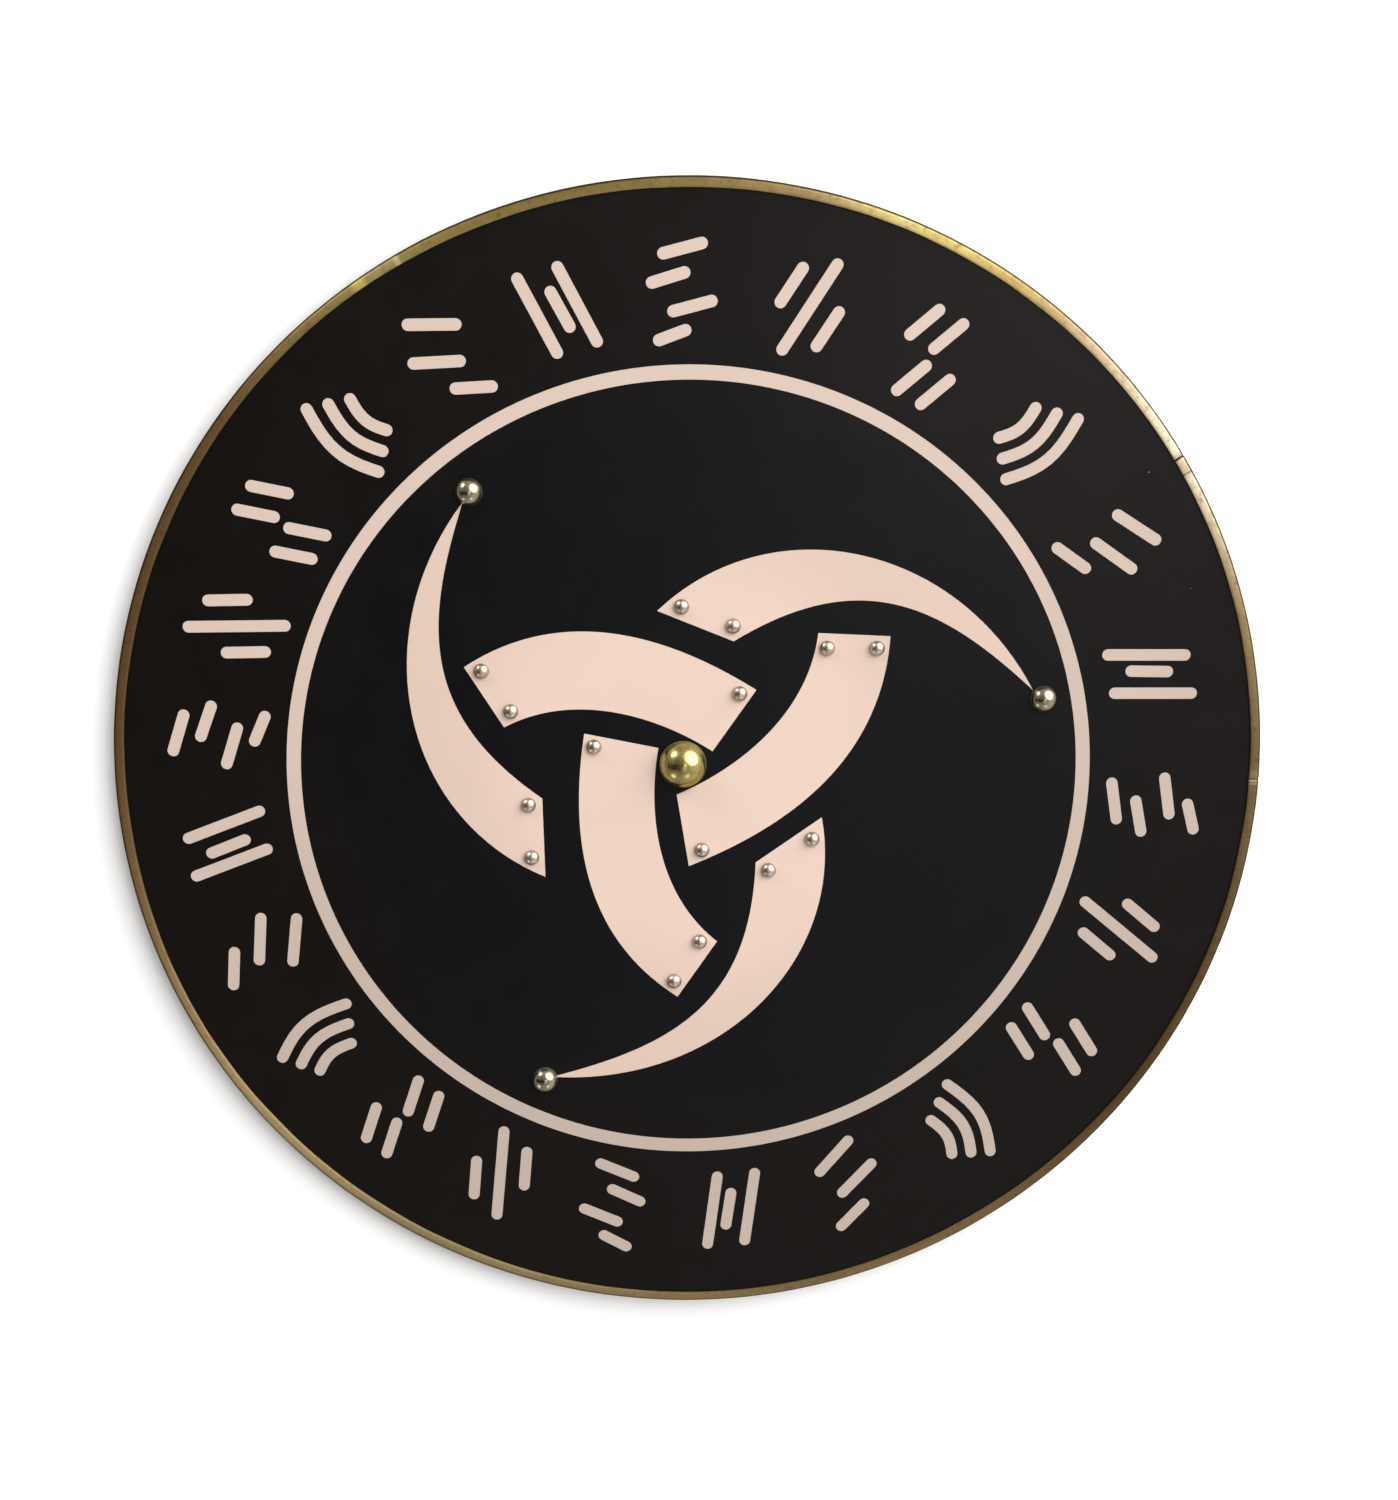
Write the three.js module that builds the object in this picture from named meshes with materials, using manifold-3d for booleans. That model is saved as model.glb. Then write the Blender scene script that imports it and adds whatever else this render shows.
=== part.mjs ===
// Wooden round shield lying face up: a flat painted board, bound at its edge with two lengths of
// brass U-strip and set with dome-headed nails. Millimetres, +Z up, +Y towards the top of the design.
// The origin is on the ground, under the middle of the board.
import * as THREE from 'three';
import { mergeVertices } from 'three/addons/utils/BufferGeometryUtils.js';
import Module from 'manifold-3d';

const wasm = await Module();
wasm.setup();

// Driving dimensions
const shieldDiameter = 610;
const boardThickness = 10;
const boardArris = 0.9; // the small bevel along both edges of the board

const stripThickness = 1;
const stripLip = 5.6; // how far each lip of the strip reaches in over the board, from the outer edge
const stripShoulder = 2.2; // outer rounding where the strip folds over the edge
const lipBevel = 0.4;
const seamWidth = 0.5;
const upperSeamAngle = 33.5; // degrees round from +X
const lowerSeamAngle = -0.6;

const fitGap = 0.3; // left between any two pieces that meet

const nailPointLength = 1.5;
const woodBehindNails = 2.5; // left between the end of a nail hole and the back of the board
const holeEndGap = 0.5;
const smallNail = { diameter: 8, height: 3.5, rim: 0.4, shank: 1.6, sides: 12, steps: 3 };
const tipNail = { diameter: 14, height: 6.2, rim: 0.5, shank: 2.2, sides: 16, steps: 4 };
const bossNail = { diameter: 25, height: 11.6, rim: 0.8, shank: 3.5, sides: 24, steps: 6 };
const bossPlace = { x: -4.5, y: 5.9 };

// The painted figure is three horns laced together, each seen as a pointed end and a short band.
// A point or band starts at x, y and runs for its length at its turn, in degrees from +X. The nails
// sit in their corners, placed along and across that run. They were set out by hand, so no two
// horns match exactly.
const hornPoints = [
  { name: 'left', x: -117.9, y: 143.8, turn: -77.7, length: 182.3, studAlong: -4.2, studAcross: 4.2 },
  { name: 'right', x: 181.0, y: 45.4, turn: 169.2, length: 182.2, studAlong: -6.5, studAcross: 3.6 },
  { name: 'low', x: -76.7, y: -170.0, turn: 46.1, length: 186.1, studAlong: -3.6, studAcross: 1.8 },
];
const hornBands = [
  { name: 'left', x: 22.7, y: 29.2, turn: 174.5, length: 132.6 },
  { name: 'right', x: -4.6, y: -30.5, turn: 49.5, length: 138.8 },
  { name: 'low', x: -37.2, y: 18.5, turn: -72.3, length: 133.1 },
];
const mouthInnerNail = { pastEnd: -19.4, across: -3.8 };
const mouthOuterNail = { pastEnd: 9.1, across: -8.7 };
const bandStartNail = { along: -1.4, across: -14.8 };
const bandInnerNail = { pastEnd: -14.6, across: 6.1 };
const bandOuterNail = { pastEnd: 2.4, across: -13.9 };

const roundSides = 96; // sides of the board and of the whole rim
const shoulderSteps = 3;
const foldSteps = 2;

// Heights and radii that follow from them
const rimHeight = boardThickness + 2 * (fitGap + stripThickness);
const boardBack = stripThickness + fitGap;
const boardFace = boardBack + boardThickness;
const outerRadius = shieldDiameter / 2;
const lipRadius = outerRadius - stripLip;
const boardRadius = outerRadius - stripThickness - fitGap;
const nailSeat = boardFace + fitGap;
const nailReach = boardThickness - woodBehindNails - holeEndGap;

const paintedWood = { color: 0x1d1b1d, roughness: 0.5, metalness: 0 };
const agedBrass = { color: 0xa58a4c, roughness: 0.35, metalness: 1 };
const nickel = { color: 0xb5b0aa, roughness: 0.3, metalness: 1 };

// Turns a closed three.js geometry into a solid that can be cut
function solidFrom(geometry) {
  const bare = geometry.clone();
  bare.deleteAttribute('normal');
  bare.deleteAttribute('uv');
  const merged = mergeVertices(bare, 1e-4);
  const index = merged.index.array;
  const triangles = [];
  for (let i = 0; i < index.length; i += 3) {
    const [a, b, c] = [index[i], index[i + 1], index[i + 2]];
    if (a !== b && b !== c && c !== a) triangles.push(a, b, c);
  }
  return new wasm.Manifold(new wasm.Mesh({
    numProp: 3,
    vertProperties: new Float32Array(merged.attributes.position.array),
    triVerts: new Uint32Array(triangles),
  }));
}

function geometryFrom(solid) {
  const mesh = solid.getMesh();
  const geometry = new THREE.BufferGeometry();
  geometry.setAttribute('position', new THREE.BufferAttribute(new Float32Array(mesh.vertProperties), 3));
  geometry.setIndex(new THREE.BufferAttribute(new Uint32Array(mesh.triVerts), 1));
  geometry.computeVertexNormals();
  return geometry;
}

// Turns a profile of [radius, height] points about the Z axis
function turned(profile, sides) {
  const points = profile.map(([radius, height]) => new THREE.Vector2(radius, height));
  return new THREE.LatheGeometry(points, sides).rotateX(Math.PI / 2);
}

function arcPoints(centreRadius, centreHeight, radius, fromDegrees, toDegrees, steps) {
  const points = [];
  for (let i = 0; i <= steps; i += 1) {
    const angle = THREE.MathUtils.degToRad(fromDegrees + ((toDegrees - fromDegrees) * i) / steps);
    points.push([centreRadius + radius * Math.cos(angle), centreHeight + radius * Math.sin(angle)]);
  }
  return points;
}

// Every nail: which kind it is, and where its axis stands on the board
function nailPlaces() {
  const places = [{ name: 'centre_boss', kind: bossNail, ...bossPlace }];
  const add = (name, kind, piece, along, across) => {
    const turn = THREE.MathUtils.degToRad(piece.turn);
    places.push({
      name: `${name}_${piece.name}`,
      kind,
      x: piece.x + along * Math.cos(turn) - across * Math.sin(turn),
      y: piece.y + along * Math.sin(turn) + across * Math.cos(turn),
    });
  };
  const addAtEnd = (name, piece, { pastEnd, across }) => {
    add(name, smallNail, piece, piece.length + pastEnd, across);
  };
  for (const point of hornPoints) {
    add('tip_stud', tipNail, point, point.studAlong, point.studAcross);
    addAtEnd('mouth_nail_inner', point, mouthInnerNail);
    addAtEnd('mouth_nail_outer', point, mouthOuterNail);
  }
  for (const band of hornBands) {
    add('band_nail_start', smallNail, band, bandStartNail.along, bandStartNail.across);
    addAtEnd('band_nail_inner', band, bandInnerNail);
    addAtEnd('band_nail_outer', band, bandOuterNail);
  }
  return places;
}

// A nail with a domed head, its shank running down into the board
function nailGeometry({ diameter, height, rim, shank, sides, steps }) {
  const radius = diameter / 2;
  const domeHeight = height - rim;
  const sphere = (radius * radius + domeHeight * domeHeight) / (2 * domeHeight);
  const spread = THREE.MathUtils.radToDeg(Math.asin(Math.min(1, radius / sphere)));
  const startAngle = domeHeight > radius ? spread - 90 : 90 - spread;
  const dome = arcPoints(0, rim + domeHeight - sphere, sphere, startAngle, 90, steps);
  dome[steps][0] = 0;
  return turned([
    [0, -fitGap - nailReach],
    [shank / 2, -fitGap - nailReach + nailPointLength],
    [shank / 2, 0],
    [radius, 0],
    ...dome,
  ], sides);
}

// The round board, eased along its edges, with a blind hole for each nail
function boardGeometry(places) {
  let board = solidFrom(turned([
    [0, boardBack],
    [boardRadius - boardArris, boardBack],
    [boardRadius, boardBack + boardArris],
    [boardRadius, boardFace - boardArris],
    [boardRadius - boardArris, boardFace],
    [0, boardFace],
  ], roundSides));
  for (const { kind, x, y } of places) {
    const bottom = boardBack + woodBehindNails;
    const top = boardFace + fitGap;
    const radius = kind.shank / 2 + fitGap;
    const hole = new THREE.CylinderGeometry(radius, radius, top - bottom, kind.sides)
      .rotateX(Math.PI / 2)
      .translate(x, y, (top + bottom) / 2);
    board = board.subtract(solidFrom(hole));
  }
  return geometryFrom(board);
}

// The brass U-strip as one ring, then cut at its two seams: the longer length comes first
function rimGeometries() {
  const shoulderCentre = outerRadius - stripShoulder;
  const foldRadius = stripShoulder - stripThickness;
  const profile = [
    [lipRadius, rimHeight - stripThickness],
    [lipRadius, rimHeight - lipBevel],
    [lipRadius + lipBevel, rimHeight],
    ...arcPoints(shoulderCentre, rimHeight - stripShoulder, stripShoulder, 90, 0, shoulderSteps),
    ...arcPoints(shoulderCentre, stripShoulder, stripShoulder, 0, -90, shoulderSteps),
    [lipRadius + lipBevel, 0],
    [lipRadius, lipBevel],
    [lipRadius, stripThickness],
    ...arcPoints(shoulderCentre, stripShoulder, foldRadius, -90, 0, foldSteps),
    ...arcPoints(shoulderCentre, rimHeight - stripShoulder, foldRadius, 0, 90, foldSteps),
    [lipRadius, rimHeight - stripThickness],
  ].reverse();
  let ring = solidFrom(turned(profile, roundSides));
  for (const angle of [upperSeamAngle, lowerSeamAngle]) {
    const cutter = new THREE.BoxGeometry(stripLip * 2, seamWidth, rimHeight * 2)
      .translate(outerRadius - stripLip / 2, 0, 0)
      .rotateZ(THREE.MathUtils.degToRad(angle));
    ring = ring.subtract(solidFrom(cutter));
  }
  return ring.decompose().sort((a, b) => b.volume() - a.volume()).map(geometryFrom);
}

function addPiece(group, name, geometry, material, x = 0, y = 0, z = 0) {
  const mesh = new THREE.Mesh(geometry, new THREE.MeshStandardMaterial(material));
  mesh.name = name;
  mesh.position.set(x, y, z);
  group.add(mesh);
}

const shield = new THREE.Group();
const places = nailPlaces();
addPiece(shield, 'board', boardGeometry(places), paintedWood);
const [longStrip, shortStrip] = rimGeometries();
addPiece(shield, 'rim_strip_long', longStrip, agedBrass);
addPiece(shield, 'rim_strip_short', shortStrip, agedBrass);
for (const { name, kind, x, y } of places) {
  addPiece(shield, name, nailGeometry(kind), kind === smallNail ? nickel : agedBrass, x, y, nailSeat);
}

export default shield;
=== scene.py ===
import math

import bmesh
import bpy
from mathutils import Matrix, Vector, noise
from mathutils.geometry import delaunay_2d_cdt, interpolate_bezier


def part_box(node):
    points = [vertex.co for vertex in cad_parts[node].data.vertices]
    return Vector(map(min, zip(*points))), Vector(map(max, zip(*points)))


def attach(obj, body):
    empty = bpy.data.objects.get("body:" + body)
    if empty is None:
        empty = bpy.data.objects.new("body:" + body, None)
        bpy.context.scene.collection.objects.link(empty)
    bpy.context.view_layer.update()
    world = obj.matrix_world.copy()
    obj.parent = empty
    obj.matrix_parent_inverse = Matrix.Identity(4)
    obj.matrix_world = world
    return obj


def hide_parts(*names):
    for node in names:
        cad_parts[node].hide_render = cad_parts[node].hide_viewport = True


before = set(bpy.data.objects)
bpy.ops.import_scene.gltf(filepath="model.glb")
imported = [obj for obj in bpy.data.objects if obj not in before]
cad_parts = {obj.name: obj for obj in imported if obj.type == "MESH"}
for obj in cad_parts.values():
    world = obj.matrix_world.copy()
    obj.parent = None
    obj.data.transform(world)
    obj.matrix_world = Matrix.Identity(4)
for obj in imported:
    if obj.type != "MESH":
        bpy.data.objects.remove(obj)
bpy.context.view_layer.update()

MM = 0.001

# Sizes read from the solids
board_low, board_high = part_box("board")
strip_low, strip_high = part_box("rim_strip_long")
BOARD_RADIUS = board_high.x
FACE = board_high.z
BACK = board_low.z
OUTER_RADIUS = -strip_low.x
RIM_HEIGHT = strip_high.z

# The board and the holes for its nails
BOARD_ARRIS = 0.9 * MM
ROUND_SIDES = 480
HOLE_CLEARANCE = 0.3 * MM
HOLE_END_GAP = 0.5 * MM
HOLE_SIDES = 20
JOIN_DISTANCE = 1e-7
FILLED_INSIDE = 1  # keep only what lies in an outline

# The painted ring
RING_CENTRE = (-0.6 * MM, -0.7 * MM)
RING_INNER = 206.3 * MM
RING_OUTER = 213.8 * MM
# The way in which painted light makes the ring and the marks grow lighter: up, and a little to the left
PAINTED_LIGHT_UPWARD = (-0.34, 0.94, 0.0)

# How strongly the paint's tone follows its drift beside its own wandering, and its speckle and skin. On
# the creams the drift is painted light and shade.
DRIFT_WEIGHT = 3.0
DRIFT_START = 0.4
DRIFT_END = 3.6
SPECKLE = 0.16
PAINT_SKIN = 0.02 * MM
BLACK_GLINT = 0.125
CREAM_GLINT = 0.3

# The bare wood's tones and the depth of its grain
PALE_WOOD = (0.60, 0.41, 0.23)
DEEP_WOOD = (0.42, 0.26, 0.13)
RING_BROWN = (0.34, 0.19, 0.085)
STREAK_BROWN = (0.30, 0.17, 0.08)
PORE_BROWN = (0.17, 0.09, 0.04)
GRAIN_DEPTH = 0.06 * MM

# The horns' pointed ends and bands. Each starts at a place and runs for its length at its turn in
# degrees. lean and spread give the near end of a band, half its run along and half its width.
HORN_POINTS = [
    dict(x=-117.9 * MM, y=143.8 * MM, turn=-77.7, length=182.3 * MM),
    dict(x=181.0 * MM, y=45.4 * MM, turn=169.2, length=182.2 * MM),
    dict(x=-76.7 * MM, y=-170.0 * MM, turn=46.1, length=186.1 * MM),
]
HORN_BANDS = [
    dict(x=22.7 * MM, y=29.2 * MM, turn=174.5, length=132.6 * MM, lean=9.9 * MM, spread=17.5 * MM),
    dict(x=-4.6 * MM, y=-30.5 * MM, turn=49.5, length=138.8 * MM, lean=12.9 * MM, spread=15.3 * MM),
    dict(x=-37.2 * MM, y=18.5 * MM, turn=-72.3, length=133.1 * MM, lean=9.7 * MM, spread=17.5 * MM),
]
MOUTH_LEAN = 21.2 * MM
MOUTH_SPREAD = 4.1 * MM
FAR_LEAN = 11.7 * MM
FAR_SPREAD = 15.0 * MM
# Two curve handles for each long edge, as shares of its chord, along it and to its left
POINT_INNER_HANDLES = ((0.349, -0.225), (0.632, -0.317))
POINT_OUTER_HANDLES = ((0.224, 0.327), (0.709, 0.334))
BAND_INNER_HANDLES = ((0.277, -0.137), (0.685, -0.217))
BAND_OUTER_HANDLES = ((0.326, 0.251), (0.693, 0.16))
CURVE_STEPS = 40

# The ring of painted marks: plain strokes in groups, at an uneven spacing as if set out by eye
MARK_COUNT = 24
MARK_FIRST_ANGLE = 10.5
MARK_DRIFT = 5.6
MARK_DRIFT_START = 1.5
MARK_RADIUS = 249.5 * MM
MARK_HALF_WIDTH = 15 * MM
MARK_HALF_HEIGHT = 23.5 * MM
STROKE_WIDTH = 6.1 * MM
STROKE_STEPS = 10
CAP_STEPS = 10
# The bow of the arcs, as a share of their length, and how far the bricks and rungs lean and rise, in
# shares of a mark's half width and half height
ARC_BOW = -0.2
BRICK_LEAN = 0.45
BRICK_RISE = 0.75
RUNG_RISE = 0.2
# Two specks of the paint: how far from the middle, at what angle, and their size
SPECKS = [(285.4 * MM, 33.97, 0.26 * MM), (280.2 * MM, 20.75, 0.16 * MM)]
SPECK_SIDES = 8

# The brass strip
LIP_RADIUS = OUTER_RADIUS - 5.6 * MM
SHOULDER = 2.2 * MM
STRIP_THICKNESS = 1.0 * MM
UPPER_SEAM = 33.5
LOWER_SEAM = -0.6
SEAM_WIDTH = 0.5 * MM
STRIP_STEP = 0.5
END_EASE = 0.35
END_SHARES = (0, 0.15, 0.4)
CROWN_STEPS = 8
SHOULDER_STEPS = 8
FOLD_STEPS = 4
CROWN_DROP = 0.3 * MM
CROWN_FALL = 5.0
# How far the lip's edge wanders, and how deep the dents along it and at its cut ends are
SLOW_WANDER = 0.22 * MM
QUICK_WANDER = 0.1 * MM
DENT_DEPTH = 0.1 * MM
END_DENT = 0.18 * MM
LIP_ROUND = 0.3 * MM
LIP_LEAN = 0.05 * MM
INSET = 0.02 * MM  # kept inside the solid's faces
# Painted shade darkening the strip's outer side: how far in from the outer edge it starts and where it
# is full
SIDE_SHADE = 1.7 * MM
SIDE_SHADE_FULL = 0.7 * MM
SIDE_SHADE_BROWN = (0.04, 0.028, 0.015)
# The strip's dulling, in broad patches, in a fine mottle and in drawn lines
PATCH_BROWN = (0.20, 0.12, 0.055)
MOTTLE_BROWN = (0.15, 0.09, 0.045)
DRAWN_BROWN = (0.18, 0.115, 0.055)
BRASS_SKIN = 0.02 * MM
STRIP_EDGE_TINT = (0.35, 0.28, 0.2, 1.0)
# The aged brass turns from tone to tone round the rim, at these degrees from +X: partly its patina and
# partly painted highlight and glints where it catches the light, the palest tone a painted highlight and
# the yellowest ones painted glints
BROWN_BRASS = (0.29, 0.17, 0.072)
TAN_BRASS = (0.36, 0.26, 0.12)
OLIVE_BRASS = (0.23, 0.185, 0.09)
BRONZE = (0.175, 0.11, 0.045)
GOLD_BRASS = (0.44, 0.33, 0.11)
GLINT_BRASS = (0.54, 0.46, 0.17)
HIGHLIGHT_BRASS = (0.72, 0.65, 0.47)
BRASS_TONES = [
    (-180, BROWN_BRASS),
    (-148, TAN_BRASS),
    (-120, OLIVE_BRASS),
    (-85, TAN_BRASS),
    (-35, BRONZE),
    (0, TAN_BRASS),
    (18, TAN_BRASS),
    (34, HIGHLIGHT_BRASS),
    (52, TAN_BRASS),
    (61, GOLD_BRASS),
    (70, GLINT_BRASS),
    (80, TAN_BRASS),
    (92, GOLD_BRASS),
    (117, GOLD_BRASS),
    (121, GLINT_BRASS),
    (126, GOLD_BRASS),
    (142, BROWN_BRASS),
    (163, BROWN_BRASS),
    (180, BROWN_BRASS),
]
# Marks across the strip: dark and brown marks by its seams, painted highlights on the lower seam's cut
# edges, and two painted glints where it catches the light: how far each stays whole and where it ends,
# beside its angle
DARK_MARK = (0.07, 0.04, 0.03)
BROWN_MARK = (0.30, 0.17, 0.12)
CUT_EDGE_HIGHLIGHT = (0.70, 0.54, 0.38)
YELLOW_GLINT_MARK = (0.88, 0.70, 0.17)
CREAM_GLINT_MARK = (0.95, 0.80, 0.50)
STRIP_MARKS = [
    dict(at=32.5, whole=2.5 * MM, end=7.0 * MM, share=0.45, tone=BROWN_MARK),
    dict(at=33.5, whole=0.4 * MM, end=0.9 * MM, share=0.95, tone=DARK_MARK),
    dict(at=31.8, whole=0.2 * MM, end=0.7 * MM, share=0.7, tone=DARK_MARK),
    dict(at=30.2, whole=0.2 * MM, end=0.9 * MM, share=0.3, tone=BROWN_MARK),
    dict(at=-0.1, whole=0.8 * MM, end=3.2 * MM, share=0.35, tone=CUT_EDGE_HIGHLIGHT),
    dict(at=-0.72, whole=0.15 * MM, end=0.5 * MM, share=0.8, tone=CUT_EDGE_HIGHLIGHT),
    dict(at=-1.05, whole=0.15 * MM, end=0.5 * MM, share=0.6, tone=CUT_EDGE_HIGHLIGHT),
    dict(at=123.6, whole=1.5 * MM, end=5.5 * MM, share=0.7, tone=YELLOW_GLINT_MARK),
    dict(at=119.3, whole=0.6 * MM, end=2.6 * MM, share=0.55, tone=CREAM_GLINT_MARK),
]

# The nails' shanks, domes and metals. FOOT_SHARE is how high up a head its matter foot reaches.
SMALL_SHANK = 1.6 * MM
TIP_SHANK = 2.2 * MM
BOSS_SHANK = 3.5 * MM
POINT_LENGTH = 1.5 * MM
NAIL_RIM = 0.5 * MM
NAIL_SIDES = 64
NAIL_STEPS = 20
FOOT_SHARE = 0.62
FOOT_ROUGHNESS = 0.4
LACQUER_ROUGHNESS = 0.12
NAIL_SKIN = 0.05 * MM
# Each metal's foot tone is partly patina and partly painted light and shade on the head's rim
NAIL_METALS = {
    SMALL_SHANK: ("nickel", dict(
        name="worn_nickel",
        clean=(0.62, 0.52, 0.435),
        dull=(0.44, 0.35, 0.28),
        foot=(0.45, 0.37, 0.31),
        edge=(0.48, 0.46, 0.44),
        low_rough=0.27,
        high_rough=0.38,
        lacquer=0.0,
    )),
    TIP_SHANK: ("aged_brass", dict(
        name="pale_brass",
        clean=(0.37, 0.345, 0.22),
        dull=(0.27, 0.245, 0.14),
        foot=(0.34, 0.31, 0.19),
        edge=(0.6, 0.57, 0.42),
        low_rough=0.16,
        high_rough=0.28,
        lacquer=1.0,
    )),
    BOSS_SHANK: ("aged_brass", dict(
        name="olive_brass",
        clean=(0.46, 0.39, 0.14),
        dull=(0.36, 0.28, 0.09),
        foot=(0.36, 0.335, 0.16),
        edge=(0.4, 0.4, 0.16),
        low_rough=0.19,
        high_rough=0.3,
        lacquer=0.3,
    )),
}
NAIL_SEAT_GAP = 0.01 * MM
NAIL_RIM_EASE = 0.2 * MM
SHARP_EDGE = 50  # degrees between faces

# The camera, seen from the board's frame, and the softboxes, as directions from the board
CAMERA_PLACE = (-0.0157, 0.1801, 0.8695)
CAMERA_TURN = (-10.989, -1.290, 0.124)
FRAME_HEIGHT_PIXELS = 1500
FOCAL_PIXELS = 1645.5
SENSOR_HEIGHT = 36.0
FLOOR_HALF = 6.0
LIGHT_DISTANCE = 5.0
SOFTBOXES = [
    dict(name="main_softbox", towards=(0.62, 0.52, 0.58), size=6.0, radiance=5.0),
    dict(name="small_softbox", towards=(-0.621, 0.722, 0.316), size=2.1, radiance=7.0),
    dict(name="low_lamp_left", towards=(-0.603, -0.716, 0.354), size=1.4, radiance=2.6),
    dict(name="low_lamp_right", towards=(0.30, -0.751, 0.583), size=1.4, radiance=1.8),
]
# The room's light: brighter to the right, dimmer overhead, with a dark stretch from overhead to the
# left and soft glows beside it. Reaches are parts of a unit vector.
LEFT_WALL_LIGHT = 0.36
RIGHT_WALL_LIGHT = 0.85
CEILING_SHARE = 0.55
DARK_SHARE = 0.14
DARK_MIDDLE = -0.13
DARK_HALF_WIDTH = 0.1
DARK_FADE = 0.22
WALLS_START = -0.7
WALLS_END = 0.8
CEILING_START = 0.6
CEILING_FULL = 0.95
DARK_LEFT_FULL = -0.05
DARK_LEFT_END = 0.12
DARK_LOW_END = 0.18
DARK_LOW_FULL = 0.32
GLOW_CORE = 0.02
GLOWS = [
    dict(towards=(0.155, 0.02, 0.988), light=3.4, spread=0.15),
    dict(towards=(0.10, -0.26, 0.96), light=0.9, spread=0.26),
]
# The room's light is warmer where it is dim
WARM_LIGHT = (1.0, 0.74, 0.52)
PLAIN_LIGHT = (1.0, 0.97, 0.94)
PLAIN_FROM = 0.4


# Nodes and materials

def new_finish(name, **values):
    """A material with one Principled shader, and the plain values that are the same all over it."""
    material = bpy.data.materials.new(name)
    material.use_nodes = True
    shader = material.node_tree.nodes["Principled BSDF"]
    for socket, value in values.items():
        shader.inputs[socket.replace("_", " ")].default_value = value
    return material, material.node_tree, shader


def add_node(tree, kind, inputs=None, **settings):
    """Adds a node. An input is a socket to link from, or a plain value."""
    node = tree.nodes.new(kind)
    for name, value in settings.items():
        setattr(node, name, value)
    for name, value in (inputs or {}).items():
        socket = node.inputs[name]
        if isinstance(value, bpy.types.NodeSocket):
            tree.links.new(value, socket)
        else:
            socket.default_value = value
    return node


def object_place(tree):
    return add_node(tree, "ShaderNodeTexCoord").outputs["Object"]


def noise_value(tree, place, scale, detail=4.0, roughness=0.55, stretch=(1, 1, 1)):
    mapped = add_node(tree, "ShaderNodeMapping", {"Vector": place, "Scale": stretch})
    inputs = {
        "Vector": mapped.outputs["Vector"],
        "Scale": scale,
        "Detail": detail,
        "Roughness": roughness,
    }
    return add_node(tree, "ShaderNodeTexNoise", inputs).outputs["Fac"]


def ramp(tree, value, low, high, to_low=0.0, to_high=1.0):
    """Eases from to_low to to_high as the value goes from low to high."""
    inputs = {
        "Value": value,
        "From Min": low,
        "From Max": high,
        "To Min": to_low,
        "To Max": to_high,
    }
    node = add_node(tree, "ShaderNodeMapRange", inputs, interpolation_type="SMOOTHSTEP")
    return node.outputs["Result"]


def mix_colour(tree, share, first, second):
    node = tree.nodes.new("ShaderNodeMix")
    node.data_type = "RGBA"
    for index, value in ((0, share), (6, first), (7, second)):
        if isinstance(value, bpy.types.NodeSocket):
            tree.links.new(value, node.inputs[index])
        elif index == 0:
            node.inputs[index].default_value = value
        else:
            node.inputs[index].default_value = (*value, 1.0)
    return node.outputs[2]


def arithmetic(tree, operation, first, second):
    node = add_node(tree, "ShaderNodeMath", {0: first, 1: second}, operation=operation)
    return node.outputs["Value"]


def add_bump(tree, shader, height, distance, strength=1.0):
    inputs = {"Height": height, "Distance": distance, "Strength": strength}
    bump = add_node(tree, "ShaderNodeBump", inputs)
    tree.links.new(bump.outputs["Normal"], shader.inputs["Normal"])


def inward_drift(tree, place, inner, outer):
    """1 inside the inner reach from the middle, falling to 0 at the outer one."""
    reach = add_node(tree, "ShaderNodeVectorMath", {0: place}, operation="LENGTH").outputs["Value"]
    return ramp(tree, reach, inner, outer, 1.0, 0.0)


# Painted light: a share that lightens the ring and the marks upward
def upward_painted_light(tree, place, low, high):
    """0 at the low place, rising to 1 at the high one."""
    inputs = {0: place, 1: PAINTED_LIGHT_UPWARD}
    height = add_node(tree, "ShaderNodeVectorMath", inputs, operation="DOT_PRODUCT").outputs["Value"]
    return ramp(tree, height, low, high)


def paint_finish(name, tone, deep_tone, glint, low_rough, high_rough, drift, start, end):
    """Smooth satin paint: its tone drifts and wanders, with a fine speckle and a faint sprayed skin. On
    the creams the drift is painted light and shade.
    """
    material, tree, shader = new_finish(name, Specular_IOR_Level=glint)
    place = object_place(tree)
    slow = noise_value(tree, place, 7.0, detail=3.0)
    fine = noise_value(tree, place, 900.0, detail=2.0)
    cloud = noise_value(tree, place, 45.0, detail=4.0)
    wandering = ramp(tree, slow, 0.35, 0.65)
    # On the creams this drift is painted light and shade
    drifting = arithmetic(tree, "MULTIPLY", drift(tree, place, start, end), DRIFT_WEIGHT)
    share = ramp(tree, arithmetic(tree, "ADD", wandering, drifting), DRIFT_START, DRIFT_END)
    broad = mix_colour(tree, share, deep_tone, tone)
    speckled = mix_colour(tree, ramp(tree, fine, 0.3, 0.75, 0.0, SPECKLE), broad, deep_tone)
    tree.links.new(speckled, shader.inputs["Base Color"])
    tree.links.new(ramp(tree, cloud, 0.3, 0.7, low_rough, high_rough), shader.inputs["Roughness"])
    add_bump(tree, shader, fine, PAINT_SKIN)
    return material


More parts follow.
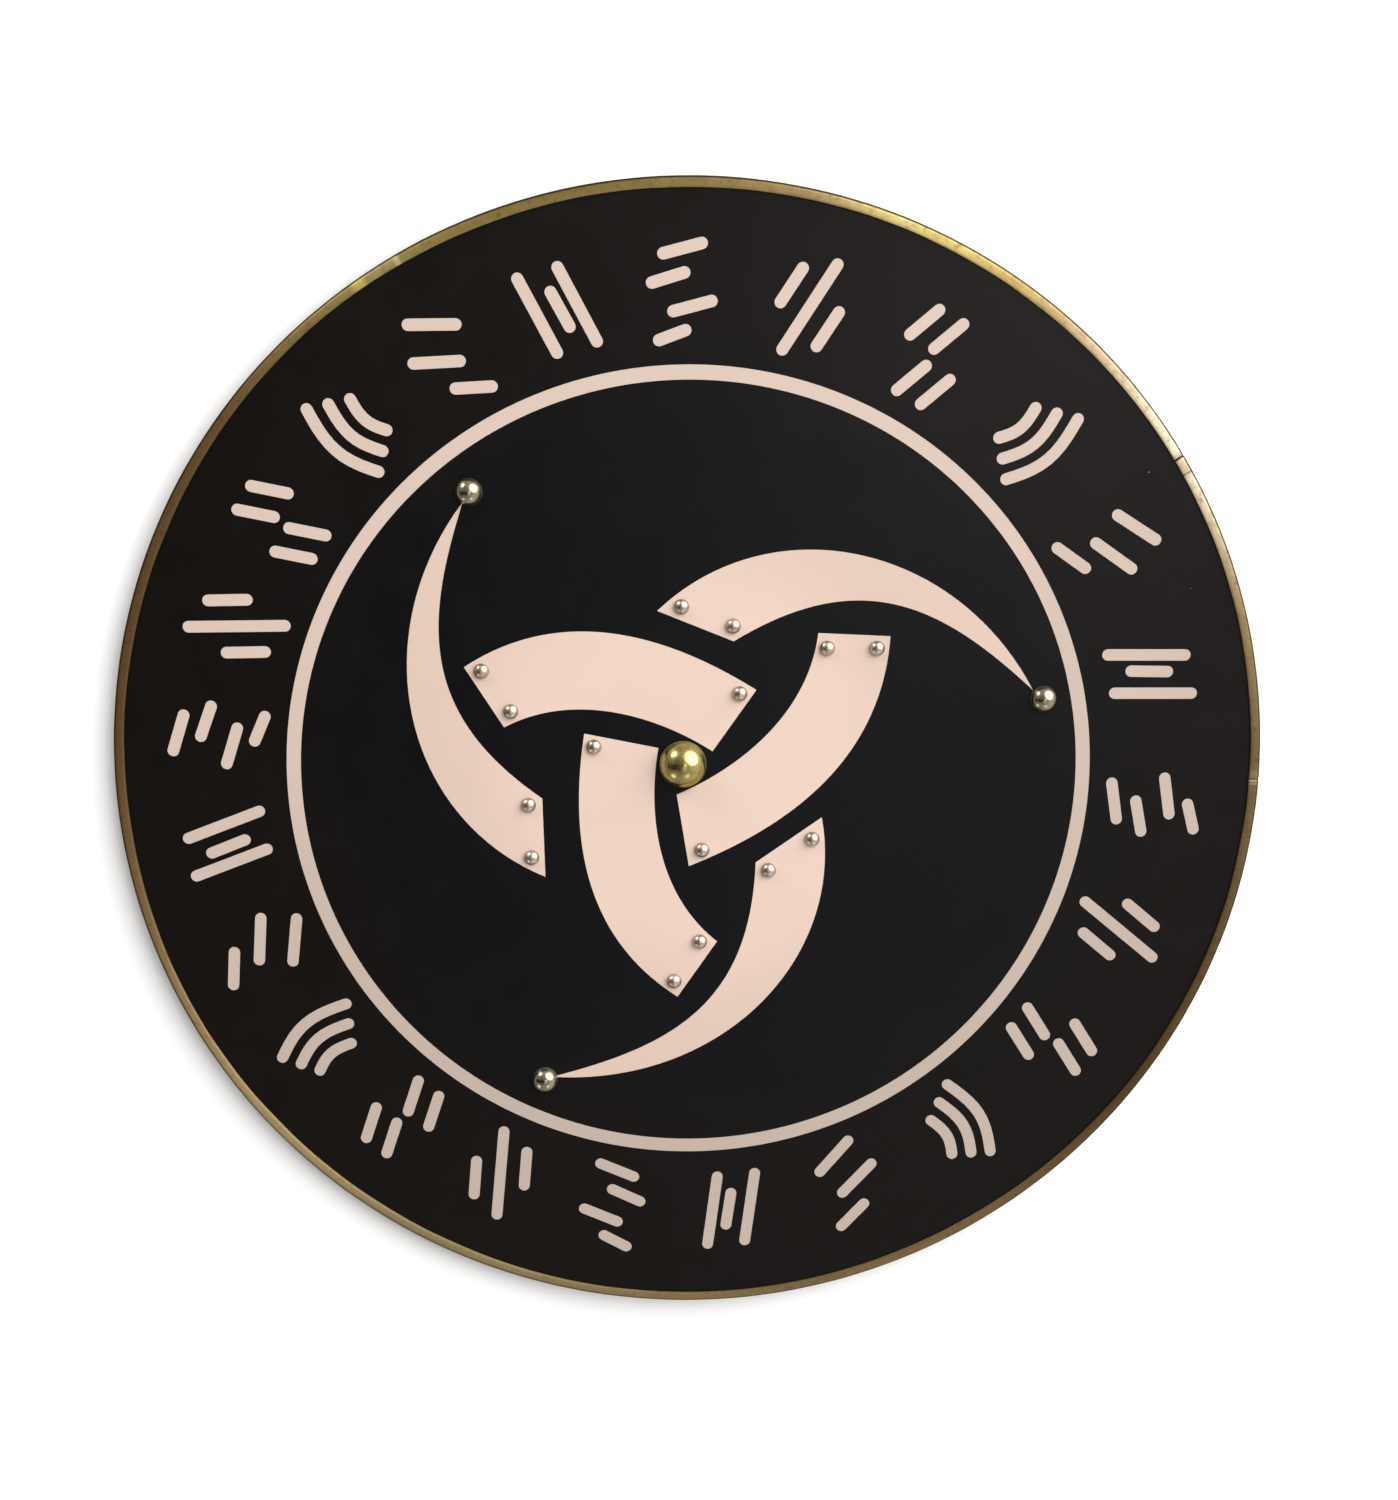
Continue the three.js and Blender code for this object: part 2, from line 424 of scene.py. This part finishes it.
def black_paint():
    """Black that is a little cooler towards the middle of the board and browner towards its edge."""
    tones = dict(tone=(0.0027, 0.0028, 0.0041), deep_tone=(0.0050, 0.0038, 0.0033))
    gloss = dict(glint=BLACK_GLINT, low_rough=0.28, high_rough=0.36)
    reach = dict(start=120 * MM, end=260 * MM)
    return paint_finish("black_paint", **tones, **gloss, drift=inward_drift, **reach)


def cream_paint():
    """The cream of the horns, a little deeper towards their points: painted shade, as the light falls
    off away from the board's middle.
    """
    tones = dict(tone=(0.64, 0.49, 0.412), deep_tone=(0.57, 0.435, 0.36))
    gloss = dict(glint=CREAM_GLINT, low_rough=0.42, high_rough=0.55)
    reach = dict(start=70 * MM, end=150 * MM)
    return paint_finish("cream_paint", **tones, **gloss, drift=inward_drift, **reach)


def grey_cream_paint():
    """The cream of the ring and the marks: thinner and greyer, and a little deeper lower down: painted
    shade, as the light falls off downward.
    """
    tones = dict(tone=(0.545, 0.433, 0.37), deep_tone=(0.42, 0.345, 0.295))
    gloss = dict(glint=CREAM_GLINT, low_rough=0.42, high_rough=0.55)
    reach = dict(start=-RING_INNER, end=RING_INNER)
    return paint_finish("grey_cream_paint", **tones, **gloss, drift=upward_painted_light, **reach)


def bare_wood():
    """Clear-varnished veneer on the back and in the edge: long grain with darker streaks and pores."""
    material, tree, shader = new_finish("bare_wood", Specular_IOR_Level=0.4)
    place = object_place(tree)
    figure = noise_value(tree, place, 26.0, detail=3.0, stretch=(0.1, 1.0, 1.0))
    streaks = noise_value(tree, place, 240.0, detail=5.0, stretch=(0.03, 1.0, 1.0))
    pores = noise_value(tree, place, 900.0, detail=2.0, stretch=(0.06, 1.0, 1.0))
    bands = add_node(
        tree,
        "ShaderNodeTexWave",
        {"Vector": place, "Scale": 9.0, "Distortion": 7.0, "Detail": 3.0, "Detail Scale": 1.3},
        bands_direction="Y",
    ).outputs["Fac"]
    ground = mix_colour(tree, ramp(tree, figure, 0.3, 0.7), DEEP_WOOD, PALE_WOOD)
    ringed = mix_colour(tree, ramp(tree, bands, 0.35, 0.95, 0.0, 0.35), ground, RING_BROWN)
    streaked = mix_colour(tree, ramp(tree, streaks, 0.5, 0.75, 0.0, 0.5), ringed, STREAK_BROWN)
    pored = mix_colour(tree, ramp(tree, pores, 0.62, 0.8, 0.0, 0.6), streaked, PORE_BROWN)
    tree.links.new(pored, shader.inputs["Base Color"])
    tree.links.new(ramp(tree, streaks, 0.3, 0.7, 0.38, 0.56), shader.inputs["Roughness"])
    height = arithmetic(tree, "SUBTRACT", streaks, ramp(tree, pores, 0.6, 0.8))
    add_bump(tree, shader, height, GRAIN_DEPTH)
    return material


def rim_share(degrees):
    """Where an angle from +X falls on the radial gradient, which runs from 0 at -180 to 1 at 180."""
    return (degrees + 180) / 360


def strip_brass():
    """Aged brass, drawn along its length: yellower and browner by turns, partly patina and partly
    painted highlight and glints, mottled, and darkened down its side by painted shade.
    """
    drawn_metal = dict(Metallic=1.0, Anisotropic=0.85, Anisotropic_Rotation=0.25)
    material, tree, shader = new_finish("strip_brass", Specular_Tint=STRIP_EDGE_TINT, **drawn_metal)
    place = object_place(tree)
    along = add_node(tree, "ShaderNodeUVMap", uv_map="strip").outputs["UV"]
    tangent = add_node(tree, "ShaderNodeTangent", direction_type="UV_MAP", uv_map="strip")
    tree.links.new(tangent.outputs["Tangent"], shader.inputs["Tangent"])
    gradient = add_node(tree, "ShaderNodeTexGradient", {"Vector": place}, gradient_type="RADIAL")
    angle = gradient.outputs["Fac"]
    tones = add_node(tree, "ShaderNodeValToRGB", {"Fac": angle})
    stops = tones.color_ramp.elements
    for i, (degrees, colour) in enumerate(BRASS_TONES):
        stop = stops[i] if i < 2 else stops.new(1.0)
        stop.position = rim_share(degrees)
        stop.color = (*colour, 1.0)
    patches = noise_value(tree, place, 11.0, detail=4.0)
    mottle = noise_value(tree, place, 230.0, detail=5.0, roughness=0.7)
    drawn = noise_value(tree, along, 2600.0, detail=3.0, stretch=(0.02, 1.0, 1.0))
    dimming = ramp(tree, patches, 0.35, 0.65, 0.2, 0.0)
    dimmed = mix_colour(tree, dimming, tones.outputs["Color"], PATCH_BROWN)
    dulled = mix_colour(tree, ramp(tree, mottle, 0.5, 0.72, 0.0, 0.5), dimmed, MOTTLE_BROWN)
    marked = mix_colour(tree, ramp(tree, drawn, 0.45, 0.75, 0.0, 0.3), dulled, DRAWN_BROWN)
    rim_length = 2 * math.pi * OUTER_RADIUS
    # The marks, among them painted highlights and painted glints
    for mark in STRIP_MARKS:
        beside = arithmetic(tree, "SUBTRACT", angle, rim_share(mark["at"]))
        apart = arithmetic(tree, "ABSOLUTE", beside, 0.0)
        whole = mark["whole"] / rim_length
        share = ramp(tree, apart, whole, mark["end"] / rim_length, mark["share"], 0.0)
        marked = mix_colour(tree, share, marked, mark["tone"])
    flat = add_node(tree, "ShaderNodeVectorMath", {0: place, 1: (1.0, 1.0, 0.0)}, operation="MULTIPLY")
    reach = add_node(tree, "ShaderNodeVectorMath", {0: flat.outputs["Vector"]}, operation="LENGTH")
    # Painted shade darkening the strip down its outer side
    side_start = OUTER_RADIUS - SIDE_SHADE
    side = ramp(tree, reach.outputs["Value"], side_start, OUTER_RADIUS - SIDE_SHADE_FULL)
    side_shaded = mix_colour(tree, side, marked, SIDE_SHADE_BROWN)
    tree.links.new(side_shaded, shader.inputs["Base Color"])
    tree.links.new(ramp(tree, mottle, 0.3, 0.7, 0.42, 0.55), shader.inputs["Roughness"])
    height = arithmetic(tree, "ADD", drawn, arithmetic(tree, "MULTIPLY", mottle, 2.0))
    add_bump(tree, shader, height, BRASS_SKIN)
    return material


def nail_metal(name, clean, dull, foot, edge, low_rough, high_rough, lacquer, height):
    """Stamped and polished metal with dulled patches and fine scuffs, duller towards its foot, whose
    tone is partly patina and partly painted light and shade on the rim round the head.
    """
    sheen = dict(Coat_Weight=lacquer, Coat_Roughness=LACQUER_ROUGHNESS, Specular_Tint=(*edge, 1.0))
    material, tree, shader = new_finish(name, Metallic=1.0, **sheen)
    place = object_place(tree)
    patches = noise_value(tree, place, 260.0, detail=4.0)
    scuffs = noise_value(tree, place, 1500.0, detail=3.0, stretch=(1.0, 0.25, 1.0))
    tone = mix_colour(tree, ramp(tree, patches, 0.42, 0.7), clean, dull)
    # The foot's tone is partly patina and partly painted light and shade on the head's rim
    level = add_node(tree, "ShaderNodeSeparateXYZ", {"Vector": place}).outputs["Z"]
    above_foot = ramp(tree, level, FACE, FACE + FOOT_SHARE * height)
    tree.links.new(mix_colour(tree, above_foot, foot, tone), shader.inputs["Base Color"])
    polish = ramp(tree, scuffs, 0.35, 0.75, low_rough, high_rough)
    matt = ramp(tree, above_foot, 0.0, 1.0, FOOT_ROUGHNESS, 0.0)
    tree.links.new(arithmetic(tree, "ADD", polish, matt), shader.inputs["Roughness"])
    add_bump(tree, shader, patches, NAIL_SKIN)
    return material


def floor_finish():
    material, tree, shader = new_finish("pale_floor", Specular_IOR_Level=0.2)
    tone = ramp(tree, noise_value(tree, object_place(tree), 2.0), 0.3, 0.7)
    shade = mix_colour(tree, tone, (0.90, 0.90, 0.90), (0.93, 0.93, 0.93))
    tree.links.new(shade, shader.inputs["Base Color"])
    shader.inputs["Roughness"].default_value = 0.7
    return material


# Plane outlines, as lists of (x, y)

def circle(radius, sides, centre=(0.0, 0.0)):
    steps = [2 * math.pi * i / sides for i in range(sides)]
    return [(centre[0] + radius * math.cos(a), centre[1] + radius * math.sin(a)) for a in steps]


def placed(points, x, y, turn):
    """Points turned by an angle in degrees, then moved."""
    c = math.cos(math.radians(turn))
    s = math.sin(math.radians(turn))
    return [(x + px * c - py * s, y + px * s + py * c) for px, py in points]


def curved_edge(start, end, handles):
    """A curve from start to just before end. Its handles are shares of the chord."""
    dx = end[0] - start[0]
    dy = end[1] - start[1]
    first, second = [
        Vector((start[0] + u * dx - v * dy, start[1] + u * dy + v * dx, 0.0)) for u, v in handles
    ]
    curve = interpolate_bezier(Vector((*start, 0.0)), first, second, Vector((*end, 0.0)), CURVE_STEPS)
    return [(p.x, p.y) for p in curve[:-1]]


def horn_point_outline(x, y, turn, length):
    tip = (0.0, 0.0)
    mouth_inner = (length - MOUTH_LEAN, MOUTH_SPREAD)
    mouth_outer = (length + MOUTH_LEAN, -MOUTH_SPREAD)
    inner = curved_edge(tip, mouth_inner, POINT_INNER_HANDLES)
    outer = curved_edge(mouth_outer, tip, POINT_OUTER_HANDLES)
    return placed([*inner, mouth_inner, *outer], x, y, turn)[::-1]


def horn_band_outline(x, y, turn, length, lean, spread):
    near_outer = (-lean, -spread)
    near_inner = (lean, spread)
    far_inner = (length - FAR_LEAN, FAR_SPREAD)
    far_outer = (length + FAR_LEAN, -FAR_SPREAD)
    inner = curved_edge(near_inner, far_inner, BAND_INNER_HANDLES)
    outer = curved_edge(far_outer, near_outer, BAND_OUTER_HANDLES)
    return placed([*inner, far_inner, *outer, near_outer], x, y, turn)[::-1]


def stroke_outline(line):
    """A painted stroke with round ends along a line of points."""
    half = STROKE_WIDTH / 2
    spine = []
    for i, (x, y) in enumerate(line):
        before = line[max(i - 1, 0)]
        after = line[min(i + 1, len(line) - 1)]
        spine.append((x, y, math.atan2(after[1] - before[1], after[0] - before[0])))

    def cap(x, y, start):
        angles = [start + math.pi * step / CAP_STEPS for step in range(1, CAP_STEPS)]
        return [(x + half * math.cos(a), y + half * math.sin(a)) for a in angles]

    right_side = [(x + half * math.sin(a), y - half * math.cos(a)) for x, y, a in spine]
    left_side = [(x - half * math.sin(a), y + half * math.cos(a)) for x, y, a in reversed(spine)]
    first_x, first_y, first_heading = spine[0]
    last_x, last_y, last_heading = spine[-1]
    far_cap = cap(last_x, last_y, last_heading - math.pi / 2)
    near_cap = cap(first_x, first_y, first_heading + math.pi / 2)
    return right_side + far_cap + left_side + near_cap


def bowed(x0, y0, x1, y1, bow=0.0):
    """A line in a mark's own frame, -1 to 1 each way, that bows to its left by a share of its length."""
    dx = x1 - x0
    dy = y1 - y0
    line = []
    for i in range(STROKE_STEPS + 1):
        t = i / STROKE_STEPS
        off = bow * math.sin(math.pi * t)
        line.append((x0 + dx * t - dy * off, y0 + dy * t + dx * off))
    return line


def mark_kinds():
    """Groups of plain strokes, level or leaning, each group in its mark's own frame."""
    trio = [bowed(-1, -0.85, -0.4, 0.85), bowed(-0.25, -0.4, 0.05, 0.4), bowed(0.4, -0.85, 1, 0.85)]
    stack = [bowed(-0.9, 0.5, 0.5, 1), bowed(-0.4, -0.2, 1, 0.25), bowed(-0.9, -1, 0.2, -0.65)]
    arcs = [
        bowed(-0.9, -0.5, -0.75, 0.5, ARC_BOW),
        bowed(-0.3, -0.75, -0.1, 0.75, ARC_BOW),
        bowed(0.3, -1, 0.55, 1, ARC_BOW),
    ]
    brick_places = [(-1, 0.2), (-0.05, 0.2), (-0.45, -0.95), (0.5, -0.95)]
    bricks = [bowed(x, y, x + BRICK_LEAN, y + BRICK_RISE) for x, y in brick_places]
    flanked = [bowed(-0.55, -1, 0.55, 1), bowed(-1, -0.05, -0.55, 0.75), bowed(0.55, -0.75, 1, 0.05)]
    rung_places = [(-0.6, 0.8, 1.3), (-1, 0.2, 1.1), (-0.3, -0.4, 1.3), (-0.8, -1, 0.9)]
    rungs = [bowed(x, y, x + run, y + RUNG_RISE) for x, y, run in rung_places]
    return [trio, stack, arcs, bricks, flanked, rungs]


def mark_outlines():
    """The strokes of all the marks, their kinds taken in turn, then mirrored and turned over."""
    kinds = mark_kinds()
    outlines = []
    for i in range(MARK_COUNT):
        kind = kinds[i % len(kinds)]
        mirror = 1 if i // len(kinds) % 2 == 0 else -1
        flip = 1 if i // (2 * len(kinds)) == 0 else -1
        share = 2 * math.pi * (i + MARK_DRIFT_START) / MARK_COUNT
        angle = MARK_FIRST_ANGLE + 360 * i / MARK_COUNT + MARK_DRIFT * math.sin(share)
        half_width = mirror * MARK_HALF_WIDTH
        half_height = flip * MARK_HALF_HEIGHT
        for line in kind:
            sized = [(u * half_width, v * half_height + MARK_RADIUS) for u, v in line]
            outlines.append(placed(stroke_outline(sized), *RING_CENTRE, angle - 90))
    return outlines


# Pieces

def finish_piece(name, bm, materials, node):
    """Turns mesh code into a piece that stands for a solid, rides with it and has its finish."""
    bmesh.ops.recalc_face_normals(bm, faces=bm.faces)
    mesh = bpy.data.meshes.new(name)
    bm.to_mesh(mesh)
    bm.free()
    for material in materials:
        mesh.materials.append(material)
    piece = bpy.data.objects.new(name, mesh)
    bpy.context.scene.collection.objects.link(piece)
    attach(piece, "root")
    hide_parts(node)
    return piece


def nail_kinds():
    """Each nail's node with its shank's width and where it stands."""
    kinds = []
    for node in sorted(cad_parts):
        shank = SMALL_SHANK
        if node == "centre_boss":
            shank = BOSS_SHANK
        elif node.startswith("tip_stud"):
            shank = TIP_SHANK
        elif "nail" not in node:
            continue
        low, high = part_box(node)
        kinds.append((node, shank, low, high))
    return kinds


def make_board(nails):
    """The board: its face parted into black and cream areas, a hole for each nail, and a bare back."""
    black, cream, grey_cream, wood = range(4)
    rim = BOARD_RADIUS - BOARD_ARRIS
    holes = []
    for _, shank, low, high in nails:
        spot = ((low.x + high.x) / 2, (low.y + high.y) / 2)
        holes.append(circle(shank / 2 + HOLE_CLEARANCE, HOLE_SIDES, spot))
    figures = [horn_point_outline(**horn) for horn in HORN_POINTS]
    figures += [horn_band_outline(**horn) for horn in HORN_BANDS]
    marks = mark_outlines()
    for reach, angle, size in SPECKS:
        spot = (reach * math.cos(math.radians(angle)), reach * math.sin(math.radians(angle)))
        marks.append(circle(size, SPECK_SIDES, spot))
    ring = [circle(radius, ROUND_SIDES, RING_CENTRE) for radius in (RING_OUTER, RING_INNER)]
    areas = [circle(rim, ROUND_SIDES), *holes, *ring, *figures, *marks]
    first_ring = 1 + len(holes)
    first_figure = first_ring + len(ring)
    first_mark = first_figure + len(figures)
    points = []
    polygons = []
    for area in areas:
        polygons.append(list(range(len(points), len(points) + len(area))))
        points += [Vector(p) for p in area]
    split = delaunay_2d_cdt(points, [], polygons, FILLED_INSIDE, JOIN_DISTANCE, True)
    verts, _, faces, _, _, sources = split
    bm = bmesh.new()
    top = [bm.verts.new((v.x, v.y, FACE)) for v in verts]
    for face, inside in zip(faces, sources):
        inside = set(inside)
        if any(1 <= area < first_ring for area in inside):
            continue
        in_ring = first_ring in inside and first_ring + 1 not in inside
        in_mark = any(area >= first_mark for area in inside)
        in_figure = any(first_figure <= area < first_mark for area in inside)
        made = bm.faces.new([top[i] for i in face])
        made.material_index = black
        if in_ring or in_mark:
            made.material_index = grey_cream
        if in_figure:
            made.material_index = cream

    def wall(outline, levels):
        """Bands of wall down an outline through (scale from the middle, height) levels."""
        middle = Vector((sum(p[0] for p in outline), sum(p[1] for p in outline))) / len(outline)
        loops = []
        for scale, height in levels:
            loop = []
            for p in outline:
                x, y = middle + (Vector(p) - middle) * scale
                loop.append(bm.verts.new((x, y, height)))
            loops.append(loop)
        for upper, lower in zip(loops, loops[1:]):
            for i in range(len(outline)):
                j = (i + 1) % len(outline)
                bm.faces.new((upper[i], upper[j], lower[j], lower[i])).material_index = wood
        bm.faces.new(loops[-1]).material_index = wood

    full = BOARD_RADIUS / rim
    wall(areas[0], [(1, FACE), (full, FACE - BOARD_ARRIS), (full, BACK + BOARD_ARRIS), (1, BACK)])
    for hole, (_, _, low, _) in zip(holes, nails):
        wall(hole, [(1, FACE), (1, low.z - HOLE_END_GAP)])
    bmesh.ops.remove_doubles(bm, verts=bm.verts, dist=JOIN_DISTANCE)
    materials = [black_paint(), cream_paint(), grey_cream_paint(), bare_wood()]
    finish_piece("painted_board", bm, materials, "board")


def wander(angle, speed, seed):
    """A slow, smooth wandering between about -1 and 1 round the rim."""
    a = math.radians(angle)
    return 2 * noise.noise(Vector((math.cos(a) * speed, math.sin(a) * speed, seed)))


def strip_section(angle, end_share):
    """The strip's closed section at an angle, as (radius, height). end_share is 0 at a cut end."""
    slow_drift = SLOW_WANDER * wander(angle, speed=3.0, seed=1.5)
    quick_drift = QUICK_WANDER * wander(angle, speed=14.0, seed=7.5)
    lip = LIP_RADIUS + slow_drift + quick_drift
    dent = DENT_DEPTH * abs(wander(angle, speed=9.0, seed=4.5)) + END_DENT * (1 - end_share)
    top = RIM_HEIGHT - INSET - dent
    outer = OUTER_RADIUS - dent / 2
    shoulder = outer - SHOULDER
    rise = SHOULDER - INSET - dent
    under = FACE + INSET
    half = [
        (lip + LIP_ROUND, under),
        (lip + 0.2 * LIP_ROUND, under + 0.4 * LIP_ROUND),
        (lip, under + LIP_ROUND),
    ]
    crown = lip + LIP_LEAN
    half.append((crown, top - CROWN_DROP))
    for i in range(1, CROWN_STEPS + 1):
        t = i / CROWN_STEPS
        half.append((crown + (shoulder - lip) * t, top - CROWN_DROP * (1 - t) ** CROWN_FALL))
    for i in range(1, SHOULDER_STEPS + 1):
        a = math.pi / 2 * i / SHOULDER_STEPS
        half.append((shoulder + SHOULDER * math.sin(a), RIM_HEIGHT - SHOULDER + rise * math.cos(a)))
    fold = SHOULDER - STRIP_THICKNESS
    fold_radius = OUTER_RADIUS - SHOULDER
    fold_height = RIM_HEIGHT - SHOULDER
    inside = []
    for i in range(FOLD_STEPS + 1):
        a = math.pi / 2 * (1 - i / FOLD_STEPS)
        inside.append((fold_radius + fold * math.sin(a), fold_height + fold * math.cos(a)))
    lower_half = [(r, RIM_HEIGHT - z) for r, z in reversed(half)]
    lower_inside = [(r, RIM_HEIGHT - z) for r, z in reversed(inside)]
    return half + lower_half + lower_inside + inside


def make_strip(name, node, start, end, material):
    """One length of strip between two angles, its section swept round and closed at both ends."""
    span = end - start
    count = round((span - 2 * END_EASE) / STRIP_STEP)
    eased = [END_EASE * share for share in END_SHARES]
    angles = [start + e for e in eased]
    angles += [start + END_EASE + (span - 2 * END_EASE) * i / count for i in range(count + 1)]
    angles += [end - e for e in reversed(eased)]
    bm = bmesh.new()
    uv = bm.loops.layers.uv.new("strip")
    rings = []
    for angle in angles:
        from_end = min(angle - start, end - angle)
        section = strip_section(angle, min(1.0, from_end / END_EASE))
        a = math.radians(angle)
        rings.append([bm.verts.new((r * math.cos(a), r * math.sin(a), z)) for r, z in section])
    around = len(rings[0])
    reach = [0.0]
    for i in range(around):
        reach.append(reach[-1] + (rings[0][i].co - rings[0][(i + 1) % around].co).length)
    for k in range(len(rings) - 1):
        lengths = [math.radians(angles[k + n] - start) * OUTER_RADIUS for n in (0, 1)]
        for i in range(around):
            j = (i + 1) % around
            face = bm.faces.new((rings[k][i], rings[k][j], rings[k + 1][j], rings[k + 1][i]))
            face.smooth = True
            spots = ((0, i), (0, i + 1), (1, i + 1), (1, i))
            for loop, (n, m) in zip(face.loops, spots):
                loop[uv].uv = (lengths[n], reach[m])
    bm.faces.new(rings[0])
    bm.faces.new(rings[-1])
    piece = finish_piece(name, bm, [material], node)
    piece.data.set_sharp_from_angle(angle=math.radians(SHARP_EDGE))


def make_nail(node, shank, low, high, material):
    """A nail with a domed head, its underside on the board's face and its shank in the hole."""
    x = (low.x + high.x) / 2
    y = (low.y + high.y) / 2
    radius = (high.x - low.x) / 2
    seat = FACE + NAIL_SEAT_GAP
    dome = high.z - seat - NAIL_RIM
    profile = [(0.0, low.z), (shank / 2, low.z + POINT_LENGTH), (shank / 2, seat)]
    profile += [(radius - NAIL_RIM_EASE, seat), (radius, seat + NAIL_RIM / 2)]
    for i in range(NAIL_STEPS + 1):
        a = math.pi / 2 * i / NAIL_STEPS
        profile.append((radius * math.cos(a), seat + NAIL_RIM + dome * math.sin(a)))
    bm = bmesh.new()
    rings = []
    for r, z in profile[1:-1]:
        rings.append([bm.verts.new((x + px, y + py, z)) for px, py in circle(r, NAIL_SIDES)])
    point = bm.verts.new((x, y, profile[0][1]))
    crown = bm.verts.new((x, y, profile[-1][1]))
    for i in range(NAIL_SIDES):
        j = (i + 1) % NAIL_SIDES
        bm.faces.new((point, rings[0][j], rings[0][i]))
        bm.faces.new((crown, rings[-1][i], rings[-1][j]))
        for lower, upper in zip(rings, rings[1:]):
            bm.faces.new((lower[i], lower[j], upper[j], upper[i]))
    for face in bm.faces:
        face.smooth = True
    piece = finish_piece(f"{node}_fine", bm, [material], node)
    piece.data.set_sharp_from_angle(angle=math.radians(SHARP_EDGE))


def make_floor():
    bm = bmesh.new()
    bmesh.ops.create_grid(bm, x_segments=8, y_segments=8, size=FLOOR_HALF)
    mesh = bpy.data.meshes.new("floor")
    bm.to_mesh(mesh)
    bm.free()
    mesh.materials.append(floor_finish())
    floor = bpy.data.objects.new("floor", mesh)
    bpy.context.scene.collection.objects.link(floor)


def make_camera():
    camera = bpy.data.cameras.new("camera")
    camera.sensor_fit = "VERTICAL"
    camera.sensor_height = SENSOR_HEIGHT
    camera.lens = FOCAL_PIXELS / FRAME_HEIGHT_PIXELS * SENSOR_HEIGHT
    holder = bpy.data.objects.new("camera", camera)
    holder.location = CAMERA_PLACE
    holder.rotation_euler = [math.radians(a) for a in CAMERA_TURN]
    bpy.context.scene.collection.objects.link(holder)
    bpy.context.scene.camera = holder


def make_lights():
    for box in SOFTBOXES:
        light = bpy.data.lights.new(box["name"], "AREA")
        light.shape = "DISK"
        light.size = box["size"]
        area = math.pi * (box["size"] / 2) ** 2
        light.energy = box["radiance"] * math.pi * area
        holder = bpy.data.objects.new(box["name"], light)
        towards = Vector(box["towards"]).normalized()
        holder.location = towards * LIGHT_DISTANCE
        holder.rotation_euler = towards.to_track_quat("Z", "Y").to_euler()
        holder.visible_camera = False
        bpy.context.scene.collection.objects.link(holder)
    world = bpy.data.worlds.new("soft_room")
    world.use_nodes = True
    tree = world.node_tree
    background = tree.nodes["Background"]
    place = add_node(tree, "ShaderNodeTexCoord").outputs["Generated"]
    parts = add_node(tree, "ShaderNodeSeparateXYZ", {"Vector": place}).outputs
    walls = ramp(tree, parts["X"], WALLS_START, WALLS_END, LEFT_WALL_LIGHT, RIGHT_WALL_LIGHT)
    ceiling = ramp(tree, parts["Z"], CEILING_START, CEILING_FULL, 1.0, CEILING_SHARE)
    room = arithmetic(tree, "MULTIPLY", walls, ceiling)
    beside = arithmetic(tree, "ABSOLUTE", arithmetic(tree, "SUBTRACT", parts["Y"], DARK_MIDDLE), 0.0)
    inside = ramp(tree, beside, DARK_HALF_WIDTH, DARK_HALF_WIDTH + DARK_FADE, 1.0, 0.0)
    leftward = ramp(tree, parts["X"], DARK_LEFT_FULL, DARK_LEFT_END, 1.0, 0.0)
    aloft = ramp(tree, parts["Z"], DARK_LOW_END, DARK_LOW_FULL)
    stretch = arithmetic(tree, "MULTIPLY", arithmetic(tree, "MULTIPLY", inside, leftward), aloft)
    dark = ramp(tree, stretch, 0.0, 1.0, 1.0, DARK_SHARE)
    light = arithmetic(tree, "MULTIPLY", room, dark)
    for glow in GLOWS:
        ends = {0: place, 1: glow["towards"]}
        apart = add_node(tree, "ShaderNodeVectorMath", ends, operation="DISTANCE").outputs["Value"]
        added = ramp(tree, apart, GLOW_CORE, glow["spread"], glow["light"], 0.0)
        light = arithmetic(tree, "ADD", light, added)
    colour = mix_colour(tree, ramp(tree, light, 0.0, PLAIN_FROM), WARM_LIGHT, PLAIN_LIGHT)
    tree.links.new(colour, background.inputs["Color"])
    tree.links.new(light, background.inputs["Strength"])
    bpy.context.scene.world = world


def make_shield():
    nails = nail_kinds()
    make_board(nails)
    brass = strip_brass()
    half_seam = math.degrees(SEAM_WIDTH / 2 / OUTER_RADIUS)
    long_end = LOWER_SEAM + 360 - half_seam
    make_strip("long_strip", "rim_strip_long", UPPER_SEAM + half_seam, long_end, brass)
    make_strip("short_strip", "rim_strip_short", LOWER_SEAM + half_seam, UPPER_SEAM - half_seam, brass)
    heights = {shank: high.z - FACE for _, shank, _, high in nails}
    metals = {}
    for shank, (slot, finish) in NAIL_METALS.items():
        metals[shank] = (nail_metal(height=heights[shank], **finish), slot)
    for node, shank, low, high in nails:
        material, slot = metals[shank]
        make_nail(node, shank, low, high, material)


make_camera()
make_lights()
make_floor()
make_shield()

view = bpy.context.scene.view_settings
view.view_transform = "Standard"
view.look = "None"
